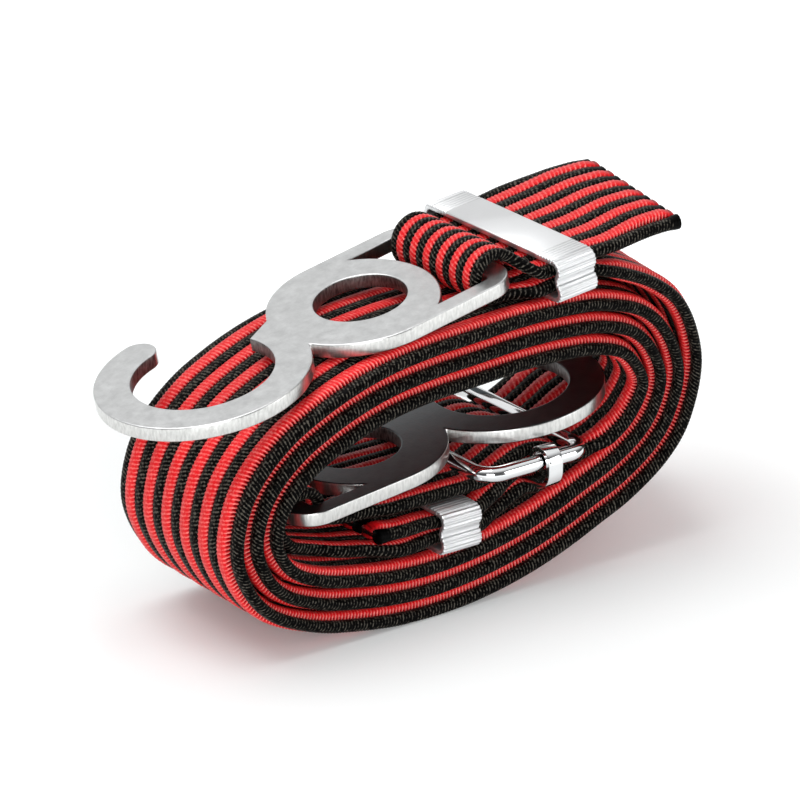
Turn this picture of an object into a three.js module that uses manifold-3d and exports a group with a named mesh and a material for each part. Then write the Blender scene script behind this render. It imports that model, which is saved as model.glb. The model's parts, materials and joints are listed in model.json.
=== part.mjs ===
// An adjustable flat elastic strap with two stamped hooks, wound into an oval coil that stands on its underside.
// Millimetres. +X runs along the coil's long axis, +Y along the strap's width to the rear, +Z up.
import * as THREE from "three";
import { mergeVertices } from "three/addons/utils/BufferGeometryUtils.js";
import Module from "manifold-3d";

// Clearances
const pieceGap = 0.3;
const layerGap = 0.5;
const slotClearance = 0.5;
const clipClearance = 0.8;

// Strap: full section in the coil, thinner where it is folded round metal, gathered in the slots
const strapWidth = 25;
const strapThickness = 2;
const foldedThickness = 1.5;
const slotStrapWidth = 17.2;
const slideStrapWidth = 21.6;
const clipStrapWidth = 24;
const upperTailSkew = 5;
const innerTailSkew = -1;

// Coil: turns grow outwards by one pitch each, and the rear edge is drawn out to the right
const turnPitch = 2.8;
const turnCount = 3;
const coilFlare = 6.4;
const flareStart = 8;
const restingFlat = 0.5;
const stationsPerTurn = 28;
const ringsPerStation = 2;

// Hook plate, from the round hole at its origin: the throat lies towards -X and the strap bar towards +X
const plateThickness = 1.8;
const holeRadius = 5.7;
const holeWall = 3.5;
const slotDepth = 3.4;
const barDepth = 3;
const armWidth = 2.3;
const slotFrontBow = 4.3;
const slotCorner = 0.8;
const plateCorner = 4;
const neckOverlap = 1.8;
const throatOffset = 0.8;
const throatRadius = 8.6;
const throatBand = 4.4;
const tipAngle = 101;
const neckAngle = 14;
const plateArcSteps = 12;

// Clip: an extruded sleeve with two lobes at each end and fine grooves beside them
const clipDepth = 5.7;
const clipWall = 0.75;
const lobeTurn = 55;
const waistDepth = 0.5;
const grooveCount = 6;
const groovePitch = 0.55;
const grooveDepth = 0.15;
const lobeArcSteps = 5;

// Slide: a wire frame and a centre bar whose curled ends hang on the frame's long sides
const wireDiameter = 2;
const frameCorner = 2.6;
const barStripWidth = 2.1;
const barStripThickness = 0.7;
const curlTail = 0.5;
const curlElbow = 1;
const barDrop = 3.1;
const elbowSteps = 4;
const curlSteps = 10;

// Where the pieces lie in the wound bundle, as x and z, with tilts in degrees
const upperHookPlace = { x: 8.1, z: 39.6, turn: -11.6 };
const innerHookPlace = { x: -20.8, z: 16.3, turn: 180 - 6.4 };
const upperClipPlace = { x: 16.5, z: 39.3, turn: -6.6 };
const innerClipPlace = { x: -0.5, z: 10.7, turn: 0 };
const slidePlace = { left: 3.1, right: 18.3, bar: 12.2, z: 16.6 };

// The innermost turn's front edge, from its right end over the top
const coreOutline = [
  [28, 22.1], [24.9, 26.8], [16.5, 28.6], [3, 28.2], [-9, 26.9], [-18, 23.7], [-23.2, 19.9],
  [-24.9, 15.4], [-22.3, 11.6], [-14, 9], [-3, 8.1], [8.5, 9.9], [18, 13.5], [25.6, 17.6],
];

// Sizes that follow from the ones above
const slotHalf = slotStrapWidth / 2 + slotClearance;
const hookHalf = slotHalf + armWidth;
const slotFront = holeRadius + holeWall;
const barInner = slotFront + slotDepth;
const barOuter = barInner + barDepth;
const barCentre = (barInner + barOuter) / 2;
const throatOuter = throatRadius + throatBand;
const throatReach = hookHalf + throatOuter - neckOverlap;
const wrapOffset = pieceGap + foldedThickness / 2;
const lobeOffset = (foldedThickness + layerGap) / 2;
const clipInnerHeight = lobeOffset + foldedThickness / 2 + pieceGap;
const clipHalfHeight = clipInnerHeight + clipWall;
const clipHalfLength = clipStrapWidth / 2 + clipClearance + clipWall;
const curlRadius = wireDiameter / 2 + pieceGap + barStripThickness / 2;
const railY = slideStrapWidth / 2 + pieceGap + barStripThickness + pieceGap + wireDiameter / 2;

const radians = THREE.MathUtils.degToRad;
const wasm = await Module();
wasm.setup();

// A point given in a turned piece's own x and z, in the bundle's x and z
function placed(place, along, above) {
  const angle = radians(place.turn);
  return {
    x: place.x + along * Math.cos(angle) + above * Math.sin(angle),
    z: place.z - along * Math.sin(angle) + above * Math.cos(angle),
  };
}

// One station of the strap's route
function station(x, z, width, thickness, lean = 0) {
  return { x, z, width, thickness, lean };
}

// The straight run through one lobe of a clip, and a little past both its ends
function inClip(place, lobe, direction) {
  return [[-1.35, 1.12], [-0.7, 1], [0.7, 1], [1.35, 1.12]].map(([share, spread]) => {
    const point = placed(place, direction * share * clipDepth / 2, lobe * spread * lobeOffset);
    return station(point.x, point.z, clipStrapWidth, foldedThickness);
  });
}

// The folded loop round the inner hook's bar, from behind it over its top and down through the slot
const plateHalf = plateThickness / 2;
const overBar = plateHalf + wrapOffset;

function innerHookLoop() {
  const rear = barOuter + wrapOffset;
  const middle = (slotFront + barInner) / 2;
  return [
    [rear - 3.2, -5], [rear - 1.2, -3.9], [rear + 0.05, -2.1], [rear + 0.3, -0.2], [rear + 0.15, 1.4],
    [barOuter - 0.9, overBar + 0.2], [barInner - 0.3, overBar + 0.1], [middle + 0.25, plateHalf],
    [middle, -0.7], [slotFront + 0.5, -plateHalf - wrapOffset - 0.35],
  ].map(([along, above]) => {
    const point = placed(innerHookPlace, along - barCentre, -above);
    return station(point.x, point.z, slotStrapWidth, foldedThickness);
  });
}

// The loose loop round the upper hook's bar, wide enough for the bar to turn in it
function upperHookLoop() {
  const radius = Math.hypot(barDepth, plateThickness) / 2 + wrapOffset;
  return [-75, -105, -135, -165, 165, 135, 105, 80, 55].map((degrees) => {
    const angle = radians(degrees);
    const x = upperHookPlace.x + radius * Math.cos(angle);
    const z = upperHookPlace.z + radius * Math.sin(angle);
    return station(x, z, slotStrapWidth, foldedThickness);
  });
}

// The folded loop round the slide's centre bar
function centreBarLoop() {
  const barZ = slidePlace.z - barDrop;
  const reach = barStripThickness / 2 + wrapOffset;
  const front = barStripWidth / 2;
  return [
    [-front - 0.3, reach], [front + 0.1, reach + 0.1], [front + wrapOffset + 0.1, 0.55],
    [front + wrapOffset + 0.1, -0.55], [front + 0.1, -reach - 0.1], [-front - 0.3, -reach],
  ].map(([along, above]) => station(slidePlace.bar + along, barZ + above, slideStrapWidth, foldedThickness));
}

function inSlide(x, z) {
  return station(x, z, slideStrapWidth, foldedThickness);
}

// Inner end: cut tail, clip, loop round the centre bar, clip, inner hook, slide
const underFrame = slidePlace.z - wireDiameter / 2 - wrapOffset;
const innerStations = [
  station(-11.8, 12.2, strapWidth, strapThickness, innerTailSkew),
  station(-8, 12, strapWidth, foldedThickness),
  ...inClip(innerClipPlace, 1, 1),
  station(6.2, 12.85, 23, foldedThickness),
  station(8.8, 13.95, slideStrapWidth, foldedThickness),
  ...centreBarLoop(),
  station(7.4, 10.6, slideStrapWidth, foldedThickness),
  ...inClip(innerClipPlace, -1, -1),
  station(-8, 9.55, strapWidth, foldedThickness),
  station(-13.5, 10, 20, foldedThickness),
  ...innerHookLoop(),
  station(-13, 14.45, 19, foldedThickness),
  inSlide(-8, 14.5), inSlide(-3, 14.55), inSlide(0.5, underFrame), inSlide(slidePlace.left, underFrame),
  inSlide(5.3, underFrame + 0.25), inSlide(8, 16), inSlide(10.2, 16.9), inSlide(12.5, 17.15),
  inSlide(14.7, 16.6), inSlide(16.4, 15.3), inSlide(slidePlace.right, underFrame - 0.1),
  station(20.4, 14.95, 22.5, foldedThickness, 1.2),
  station(23.2, 16.4, strapWidth, strapThickness, 3.6),
  station(25.9, 18.4, strapWidth, strapThickness, 5.4),
];

// Coil: the core's outline, moved outwards along its normals by one pitch a turn
const core = new THREE.CatmullRomCurve3(coreOutline.map(([x, z]) => new THREE.Vector3(x, 0, z)), true);
const coreRight = coreOutline[0][0];
const coilStations = [];
for (let index = 0; index <= turnCount * stationsPerTurn; index++) {
  const turns = index / stationsPerTurn;
  const point = core.getPoint(turns % 1);
  const tangent = core.getTangent(turns % 1);
  const growth = turnPitch * turns;
  const share = THREE.MathUtils.clamp((point.x - flareStart) / (coreRight - flareStart), 0, 1);
  coilStations.push(station(
    point.x + growth * tangent.z, point.z - growth * tangent.x, strapWidth, strapThickness, coilFlare * share,
  ));
}

// Outer end: round to the upper clip, under and over the upper hook's bar, clip again, cut tail
const outerStations = [
  station(35.6, 27.4, strapWidth, strapThickness, 5.8),
  station(33.4, 31.8, strapWidth, strapThickness, 4.4),
  station(29.6, 35, strapWidth, strapThickness, 2.8),
  station(25.4, 37.1, strapWidth, strapThickness, 1.4),
  station(22, 38.3, strapWidth, foldedThickness, 0.3),
  ...inClip(upperClipPlace, -1, -1),
  ...upperHookLoop(),
  ...inClip(upperClipPlace, 1, 1),
  station(23.5, 41.3, strapWidth, foldedThickness, 0.8),
  station(28.5, 42, strapWidth, strapThickness, 2.8),
  station(33, 42.2, strapWidth, strapThickness, upperTailSkew),
];

// The strap's cross-sections, evenly spaced between the stations of its whole route
const stations = [...innerStations, ...coilStations, ...outerStations];
const line = new THREE.CatmullRomCurve3(stations.map((s) => new THREE.Vector3(s.x, 0, s.z)));
const sizes = new THREE.CatmullRomCurve3(
  stations.map((s) => new THREE.Vector3(s.width, s.thickness, s.lean)), false, "catmullrom", 0,
);
const ringCount = (stations.length - 1) * ringsPerStation;
const rings = [];
for (let index = 0; index <= ringCount; index++) {
  const share = index / ringCount;
  const point = line.getPoint(share);
  const tangent = line.getTangent(share);
  const size = sizes.getPoint(share);
  rings.push({ x: point.x, z: point.z, tangent, width: size.x, thickness: size.y, lean: size.z });
}

// Least gap between one pass of the strap and another, measured at its front and rear edges
function leastGap() {
  const skipped = 2.5 * strapThickness;
  const lengths = [0];
  for (let index = 1; index < rings.length; index++) {
    const step = Math.hypot(rings[index].x - rings[index - 1].x, rings[index].z - rings[index - 1].z);
    lengths.push(lengths[index - 1] + step);
  }
  let least = Infinity;
  for (let first = 0; first < rings.length; first++) {
    for (let second = first + 1; second < rings.length; second++) {
      if (lengths[second] - lengths[first] < skipped) continue;
      const a = rings[first];
      const b = rings[second];
      for (const edge of [0, 1]) {
        const across = Math.hypot(a.x + edge * a.lean - b.x - edge * b.lean, a.z - b.z);
        least = Math.min(least, across - (a.thickness + b.thickness) / 2);
      }
    }
  }
  return { least, length: lengths[lengths.length - 1] };
}

const measured = leastGap();
console.log(`strap length ${measured.length.toFixed(1)} mm, least gap to itself ${measured.least.toFixed(2)} mm`);

// A band through the given rings, eight-sided, closed at both ends
function bandGeometry(bandRings) {
  const corners = [
    [-1, -0.45], [-1, 0.45], [-0.94, 1], [0.94, 1], [1, 0.45], [1, -0.45], [0.94, -1], [-0.94, -1],
  ];
  const positions = [];
  for (const ring of bandRings) {
    for (const [across, out] of corners) {
      const y = across * ring.width / 2;
      const offset = out * ring.thickness / 2;
      const shift = ring.lean * (y / strapWidth + 0.5);
      positions.push(ring.x + shift + offset * ring.tangent.z, y, ring.z - offset * ring.tangent.x);
    }
  }
  const sides = corners.length;
  const triangles = [];
  for (let row = 0; row + 1 < bandRings.length; row++) {
    for (let side = 0; side < sides; side++) {
      const a = row * sides + side;
      const b = row * sides + (side + 1) % sides;
      triangles.push(a, b, a + sides, b, b + sides, a + sides);
    }
  }
  const last = (bandRings.length - 1) * sides;
  for (let side = 1; side + 1 < sides; side++) {
    triangles.push(0, side + 1, side, last, last + side, last + side + 1);
  }
  const geometry = new THREE.BufferGeometry();
  geometry.setAttribute("position", new THREE.Float32BufferAttribute(positions, 3));
  geometry.setIndex(triangles);
  return geometry;
}

// The same ring moved along the strap, which opens the gap between two lengths of it
function moved(ring, distance) {
  return { ...ring, x: ring.x + ring.tangent.x * distance, z: ring.z + ring.tangent.z * distance };
}

function asSolid(geometry) {
  const plain = geometry.clone();
  plain.deleteAttribute("normal");
  plain.deleteAttribute("uv");
  const merged = mergeVertices(plain, 1e-4);
  return new wasm.Manifold(new wasm.Mesh({
    numProp: 3,
    vertProperties: new Float32Array(merged.attributes.position.array),
    triVerts: new Uint32Array(merged.index.array),
  }));
}

function asGeometry(solid) {
  const mesh = solid.getMesh();
  const geometry = new THREE.BufferGeometry();
  geometry.setAttribute("position", new THREE.Float32BufferAttribute(mesh.vertProperties, 3));
  geometry.setIndex(new THREE.Uint32BufferAttribute(mesh.triVerts, 1));
  return geometry;
}

const coilStart = innerStations.length * ringsPerStation;
const coilEnd = coilStart + turnCount * stationsPerTurn * ringsPerStation;
const innerEndRings = [...rings.slice(0, coilStart), moved(rings[coilStart], -pieceGap)];
const outerEndRings = [moved(rings[coilEnd], pieceGap), ...rings.slice(coilEnd + 1)];
const woundGeometry = bandGeometry(rings.slice(coilStart, coilEnd + 1));
woundGeometry.computeBoundingBox();
const coilBox = woundGeometry.boundingBox;
const floorBox = new THREE.BoxGeometry(4 * coilBox.max.x, 2 * strapWidth, 2 * strapThickness);
floorBox.translate(0, 0, coilBox.min.z + restingFlat - strapThickness);
const coilGeometry = asGeometry(asSolid(woundGeometry).subtract(asSolid(floorBox)));

// A flat outline with its holes, drawn out to a depth, with no point doubled where two arcs meet
function drawnOut(outline, holes, curveSegments, depth) {
  const single = (path) => {
    const points = path.getPoints(curveSegments);
    const kept = points.filter((point, index) => point.distanceTo(points.at(index - 1)) > 1e-6);
    return THREE.ShapeUtils.isClockWise(kept) ? kept.reverse() : kept;
  };
  const shape = new THREE.Shape(single(outline));
  shape.holes = holes.map((hole) => new THREE.Path(single(hole)));
  const geometry = new THREE.ExtrudeGeometry(shape, { depth, bevelEnabled: false });
  return geometry.translate(0, 0, -depth / 2);
}

// Hook plate, punched from sheet: ring and arms at the strap end, open throat at the other
function crossing(centreX, centreY, firstRadius, secondRadius, side) {
  const distance = Math.hypot(centreX, centreY);
  const along = (distance ** 2 + firstRadius ** 2 - secondRadius ** 2) / (2 * distance);
  const across = Math.sqrt(firstRadius ** 2 - along ** 2) * side;
  return new THREE.Vector2(
    (along * centreX - across * centreY) / distance, (along * centreY + across * centreX) / distance,
  );
}

function hookGeometry() {
  const throat = new THREE.Vector2(-throatReach, throatOffset);
  const nearCusp = crossing(throat.x, throat.y, hookHalf, throatOuter, 1);
  const farCusp = crossing(throat.x, throat.y, hookHalf, throatOuter, -1);
  const tip = radians(tipAngle);
  const neck = radians(neckAngle);
  const bandMiddle = throatRadius + throatBand / 2;
  const capX = throat.x + bandMiddle * Math.cos(tip);
  const capY = throat.y + bandMiddle * Math.sin(tip);
  const nearOnThroat = Math.atan2(nearCusp.y - throat.y, nearCusp.x - throat.x);
  const plate = new THREE.Path();
  plate.absarc(barOuter - plateCorner, plateCorner - hookHalf, plateCorner, 0, -Math.PI / 2, true);
  plate.absarc(0, 0, hookHalf, -Math.PI / 2, Math.atan2(nearCusp.y, nearCusp.x), true);
  plate.absarc(throat.x, throat.y, throatOuter, nearOnThroat, tip - 2 * Math.PI, true);
  plate.absarc(capX, capY, throatBand / 2, tip, tip - Math.PI, true);
  plate.absarc(throat.x, throat.y, throatRadius, tip, neck + 2 * Math.PI, false);
  plate.absarc(0, 0, hookHalf, Math.atan2(farCusp.y, farCusp.x), Math.PI / 2, true);
  plate.absarc(barOuter - plateCorner, hookHalf - plateCorner, plateCorner, Math.PI / 2, 0, true);
  const hole = new THREE.Path();
  hole.absarc(0, 0, holeRadius, 0, 2 * Math.PI, false);
  const bowRadius = (slotHalf ** 2 + slotFrontBow ** 2) / (2 * slotFrontBow);
  const bowAngle = Math.asin(slotHalf / bowRadius);
  const slot = new THREE.Path();
  slot.absarc(slotFront - bowRadius, 0, bowRadius, -bowAngle, bowAngle, false);
  slot.absarc(barInner - slotCorner, slotHalf - slotCorner, slotCorner, Math.PI / 2, 0, true);
  slot.absarc(barInner - slotCorner, slotCorner - slotHalf, slotCorner, 0, -Math.PI / 2, true);
  return drawnOut(plate, [hole, slot], plateArcSteps, plateThickness).translate(-barCentre, 0, 0);
}

// Clip sleeve in the plane across the strap: lobes at both ends, with a waist between the two layers
function clipOutline(inset) {
  const lobeRadius = clipHalfHeight / 2;
  const radius = lobeRadius - inset;
  const lobeY = clipHalfLength - lobeRadius;
  const cuspY = clipHalfLength - inset - waistDepth;
  const turn = radians(lobeTurn);
  const outline = new THREE.Path();
  outline.moveTo(cuspY, 0);
  outline.absarc(lobeY, lobeRadius, radius, -turn, Math.PI / 2, false);
  if (inset === 0) grooves(outline, lobeY, clipHalfHeight, -1);
  outline.absarc(-lobeY, lobeRadius, radius, Math.PI / 2, Math.PI + turn, false);
  outline.lineTo(-cuspY, 0);
  outline.absarc(-lobeY, -lobeRadius, radius, Math.PI - turn, 1.5 * Math.PI, false);
  if (inset === 0) grooves(outline, -lobeY, -clipHalfHeight, 1);
  outline.absarc(lobeY, -lobeRadius, radius, -Math.PI / 2, turn, false);
  outline.lineTo(cuspY, 0);
  return outline;
}

// Fine grooves along the strap's direction near both ends of a flat wall
function grooves(outline, startY, wallZ, direction) {
  const floorZ = wallZ - Math.sign(wallZ) * grooveDepth;
  const first = startY + direction * groovePitch / 2;
  const last = -startY - direction * groovePitch * (grooveCount - 0.5);
  for (const from of [first, last]) {
    for (let index = 0; index < grooveCount; index++) {
      const y = from + direction * groovePitch * index;
      outline.lineTo(y, wallZ);
      outline.lineTo(y + direction * groovePitch * 0.25, floorZ);
      outline.lineTo(y + direction * groovePitch * 0.5, wallZ);
    }
  }
}

function clipGeometry() {
  const geometry = drawnOut(clipOutline(0), [clipOutline(clipWall)], lobeArcSteps, clipDepth);
  return geometry.rotateX(Math.PI / 2).rotateZ(Math.PI / 2);
}

// Slide frame: round wire bent to a rectangle with round corners, its ends butted
function frameGeometry() {
  const halfX = (slidePlace.right - slidePlace.left) / 2;
  const cornerSteps = 5;
  const wireSides = 12;
  const positions = [];
  let loops = 0;
  for (const [signX, signY, start] of [[1, 1, 0], [-1, 1, 0.5], [-1, -1, 1], [1, -1, 1.5]]) {
    for (let step = 0; step <= cornerSteps; step++) {
      const angle = Math.PI * (start + 0.5 * step / cornerSteps);
      const out = new THREE.Vector2(Math.cos(angle), Math.sin(angle));
      const x = signX * (halfX - frameCorner) + out.x * frameCorner;
      const y = signY * (railY - frameCorner) + out.y * frameCorner;
      for (let side = 0; side < wireSides; side++) {
        const around = 2 * Math.PI * side / wireSides;
        const offset = Math.cos(around) * wireDiameter / 2;
        positions.push(x + out.x * offset, y + out.y * offset, Math.sin(around) * wireDiameter / 2);
      }
      loops += 1;
    }
  }
  const triangles = [];
  for (let loop = 0; loop < loops; loop++) {
    for (let side = 0; side < wireSides; side++) {
      const next = (side + 1) % wireSides;
      const a = loop * wireSides + side;
      const b = loop * wireSides + next;
      const c = ((loop + 1) % loops) * wireSides + side;
      const d = ((loop + 1) % loops) * wireSides + next;
      triangles.push(a, c, b, b, c, d);
    }
  }
  const geometry = new THREE.BufferGeometry();
  geometry.setAttribute("position", new THREE.Float32BufferAttribute(positions, 3));
  geometry.setIndex(triangles);
  return geometry;
}

// Centre bar: a strip along Y whose ends turn up outside the wires and curl over them
function centreBarGeometry() {
  const side = [];
  const elbowY = railY + curlRadius - curlElbow;
  for (let step = 0; step <= elbowSteps; step++) {
    const angle = -Math.PI / 2 + Math.PI / 2 * step / elbowSteps;
    side.push([elbowY + curlElbow * Math.cos(angle), curlElbow + curlElbow * Math.sin(angle), angle]);
  }
  for (let step = 0; step <= curlSteps; step++) {
    const angle = Math.PI * step / curlSteps;
    side.push([railY + curlRadius * Math.cos(angle), barDrop + curlRadius * Math.sin(angle), angle]);
  }
  side.push([railY - curlRadius, barDrop - curlTail, Math.PI]);
  const halfStrip = barStripThickness / 2;
  const outer = side.map(([y, z, angle]) => [y + halfStrip * Math.cos(angle), z + halfStrip * Math.sin(angle)]);
  const inner = side.map(([y, z, angle]) => [y - halfStrip * Math.cos(angle), z - halfStrip * Math.sin(angle)]);
  const mirrored = (points) => points.map(([y, z]) => [-y, z]);
  const outline = [
    ...outer, ...[...inner].reverse(), ...mirrored(inner), ...mirrored([...outer].reverse()),
  ];
  const strip = new THREE.Path(outline.map(([y, z]) => new THREE.Vector2(y, z)));
  return drawnOut(strip, [], 1, barStripWidth).rotateX(Math.PI / 2).rotateZ(Math.PI / 2);
}

// Named pieces, each with its own material, in place
const part = new THREE.Group();

function addPiece(name, geometry, color, roughness, metalness, place) {
  const material = new THREE.MeshStandardMaterial({ color, roughness, metalness });
  const mesh = new THREE.Mesh(geometry, material);
  mesh.name = name;
  if (place) {
    mesh.position.set(place.x, 0, place.z);
    mesh.rotation.y = radians(place.turn);
  }
  part.add(mesh);
}

const slideMiddle = { x: (slidePlace.left + slidePlace.right) / 2, z: slidePlace.z, turn: 0 };
const centreBarPlace = { x: slidePlace.bar, z: slidePlace.z - barDrop, turn: 0 };
addPiece("strap_coil", coilGeometry, 0xb8141c, 0.85, 0);
addPiece("strap_outer_end", bandGeometry(outerEndRings), 0xb8141c, 0.85, 0);
addPiece("strap_inner_end", bandGeometry(innerEndRings), 0xb8141c, 0.85, 0);
addPiece("upper_hook", hookGeometry(), 0xc9c9c6, 0.35, 1, upperHookPlace);
addPiece("inner_hook", hookGeometry(), 0xc9c9c6, 0.35, 1, innerHookPlace);
addPiece("upper_clip", clipGeometry(), 0xd8d9da, 0.3, 1, upperClipPlace);
addPiece("inner_clip", clipGeometry(), 0xd8d9da, 0.3, 1, innerClipPlace);
addPiece("slide_frame", frameGeometry(), 0xd2d3d4, 0.15, 1, slideMiddle);
addPiece("slide_centre_bar", centreBarGeometry(), 0xd2d3d4, 0.2, 1, centreBarPlace);
part.position.z = -(coilBox.min.z + restingFlat);

export default part;
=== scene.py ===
import json
import math

import bpy
from mathutils import Matrix, Vector


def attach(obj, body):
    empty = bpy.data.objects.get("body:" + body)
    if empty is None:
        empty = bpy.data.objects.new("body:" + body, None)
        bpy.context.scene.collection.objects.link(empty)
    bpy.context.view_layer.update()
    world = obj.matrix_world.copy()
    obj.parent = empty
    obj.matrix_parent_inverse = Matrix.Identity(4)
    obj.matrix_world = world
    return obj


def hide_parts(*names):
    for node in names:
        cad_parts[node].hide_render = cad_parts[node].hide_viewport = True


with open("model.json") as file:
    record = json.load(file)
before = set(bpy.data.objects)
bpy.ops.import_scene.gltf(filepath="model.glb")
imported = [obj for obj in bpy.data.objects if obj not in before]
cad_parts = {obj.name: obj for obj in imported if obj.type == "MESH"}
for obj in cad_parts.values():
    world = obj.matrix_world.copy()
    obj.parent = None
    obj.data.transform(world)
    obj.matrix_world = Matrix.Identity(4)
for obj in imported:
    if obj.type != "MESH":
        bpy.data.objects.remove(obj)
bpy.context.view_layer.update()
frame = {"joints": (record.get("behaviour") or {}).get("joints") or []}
scene = bpy.context.scene

# Camera: a long lens a little above the bundle and in front of it, to its left,
# which looks at the middle of the coil as the photograph does.
MM = 0.001
LOOK_AT = Vector((0, 0, 23.1 * MM))
CAMERA_AZIMUTH = math.radians(36.32)
CAMERA_ELEVATION = math.radians(22.08)
CAMERA_DISTANCE = 600 * MM
FOCAL_PIXELS = 4983
IMAGE_PIXELS = 800
FAR_CLIP = 20000 * MM

camera_data = bpy.data.cameras.new("camera")
camera_data.lens = camera_data.sensor_width * FOCAL_PIXELS / IMAGE_PIXELS
camera_data.clip_end = FAR_CLIP
camera = bpy.data.objects.new("camera", camera_data)
looking = Vector((
    math.sin(CAMERA_AZIMUTH) * math.cos(CAMERA_ELEVATION),
    math.cos(CAMERA_AZIMUTH) * math.cos(CAMERA_ELEVATION),
    -math.sin(CAMERA_ELEVATION),
))
camera.location = LOOK_AT - looking * CAMERA_DISTANCE
camera.rotation_euler = looking.to_track_quat("-Z", "Y").to_euler()
scene.collection.objects.link(camera)
scene.camera = camera

# Strap, its route: one length of elastic webbing, from the cut tail at the inner clip, through the
# slide and the inner hook, three turns round, and over the upper hook's bar to the other cut tail.
# The stations are x, z, width, thickness and lean in millimetres, as in the part's source.
STRAP_WIDTH = 25
STRAP_THICKNESS = 2
FOLDED = 1.5
SLOT_WIDTH = 17.2
SLIDE_WIDTH = 21.6
CLIP_STRAP_WIDTH = 24
PIECE_GAP = 0.3
LAYER_GAP = 0.5
WRAP_OFFSET = PIECE_GAP + FOLDED / 2

PLATE_THICKNESS = 1.8
HOLE_RADIUS = 5.7
HOLE_WALL = 3.5
SLOT_DEPTH = 3.4
BAR_DEPTH = 3
SLOT_FRONT = HOLE_RADIUS + HOLE_WALL
BAR_INNER = SLOT_FRONT + SLOT_DEPTH
BAR_OUTER = BAR_INNER + BAR_DEPTH
BAR_CENTRE = (BAR_INNER + BAR_OUTER) / 2
UPPER_HOOK_TILT = -11.6
INNER_HOOK_TILT = 180 - 6.4
hinge = {joint["name"]: joint["pos_m"] for joint in frame["joints"] if joint["type"] == "hinge"}
upper_bar, inner_bar = hinge["upper_hook_swing"], hinge["inner_hook_swing"]
UPPER_HOOK = (upper_bar[0] / MM, upper_bar[2] / MM, UPPER_HOOK_TILT)
INNER_HOOK = (inner_bar[0] / MM, inner_bar[2] / MM, INNER_HOOK_TILT)

CLIP_DEPTH = 5.7
UPPER_CLIP = (16.5, 39.3, -6.6)
INNER_CLIP = (-0.5, 10.7, 0)
LOBE_OFFSET = (FOLDED + LAYER_GAP) / 2

WIRE_DIAMETER = 2
BAR_STRIP_WIDTH = 2.1
BAR_STRIP_THICKNESS = 0.7
BAR_DROP = 3.1
SLIDE_LEFT, SLIDE_RIGHT, SLIDE_BAR, SLIDE_Z = 3.1, 18.3, 12.2, 16.6


def placed(place, along, above):
    """A point of a tilted piece, given along it and above it, as x and z in the bundle."""
    angle = math.radians(place[2])
    x = place[0] + along * math.cos(angle) + above * math.sin(angle)
    z = place[1] - along * math.sin(angle) + above * math.cos(angle)
    return x, z


def in_clip(place, lobe, direction):
    """The straight run through one lobe of a clip and a little past both its ends, where it spreads."""
    shares = ((-1.35, 1.12), (-0.7, 1), (0.7, 1), (1.35, 1.12))
    points = [
        placed(place, direction * share * CLIP_DEPTH / 2, lobe * spread * LOBE_OFFSET)
        for share, spread in shares
    ]
    return [(x, z, CLIP_STRAP_WIDTH, FOLDED, 0) for x, z in points]


def inner_hook_loop():
    """The fold round the inner hook's bar, from behind it over the bar and back through the slot."""
    rear = BAR_OUTER + WRAP_OFFSET
    middle = (SLOT_FRONT + BAR_INNER) / 2
    half = PLATE_THICKNESS / 2
    over = half + WRAP_OFFSET
    points = (
        (rear - 3.2, -5), (rear - 1.2, -3.9), (rear + 0.05, -2.1), (rear + 0.3, -0.2), (rear + 0.15, 1.4),
        (BAR_OUTER - 0.9, over + 0.2), (BAR_INNER - 0.3, over + 0.1), (middle + 0.25, half),
        (middle, -0.7), (SLOT_FRONT + 0.5, -half - WRAP_OFFSET - 0.35),
    )
    on_hook = [placed(INNER_HOOK, along - BAR_CENTRE, -above) for along, above in points]
    return [(x, z, SLOT_WIDTH, FOLDED, 0) for x, z in on_hook]


def upper_hook_loop():
    """The round loop on the upper hook's bar, from under it, through the slot and over it."""
    radius = math.hypot(BAR_OUTER - BAR_INNER, PLATE_THICKNESS) / 2 + WRAP_OFFSET
    loop = []
    for degrees in (-75, -105, -135, -165, 165, 135, 105, 80, 55):
        turn = math.radians(degrees)
        x = UPPER_HOOK[0] + radius * math.cos(turn)
        z = UPPER_HOOK[1] + radius * math.sin(turn)
        loop.append((x, z, SLOT_WIDTH, FOLDED, 0))
    return loop


def centre_bar_loop():
    """The fold round the slide's centre bar, over it, round its far side and back under it."""
    bar_z = SLIDE_Z - BAR_DROP
    reach = BAR_STRIP_THICKNESS / 2 + WRAP_OFFSET
    front = BAR_STRIP_WIDTH / 2
    points = (
        (-front - 0.3, reach), (front + 0.1, reach + 0.1), (front + WRAP_OFFSET + 0.1, 0.55),
        (front + WRAP_OFFSET + 0.1, -0.55), (front + 0.1, -reach - 0.1), (-front - 0.3, -reach),
    )
    return [(SLIDE_BAR + along, bar_z + above, SLIDE_WIDTH, FOLDED, 0) for along, above in points]


NUDGE = 1e-4


def between(before, start, end, after, share):
    """A point between start and end of a centripetal Catmull-Rom line."""
    spans = (start - before, end - start, after - end)
    first, second, third = [max(span.length ** 0.5, NUDGE) for span in spans]
    leaving = (spans[0] / first - (end - before) / (first + second) + spans[1] / second) * second
    arriving = (spans[1] / second - (after - start) / (second + third) + spans[2] / third) * second
    squared = -3 * start + 3 * end - 2 * leaving - arriving
    cubed = 2 * start - 2 * end + leaving + arriving
    return start + leaving * share + squared * share ** 2 + cubed * share ** 3


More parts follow.
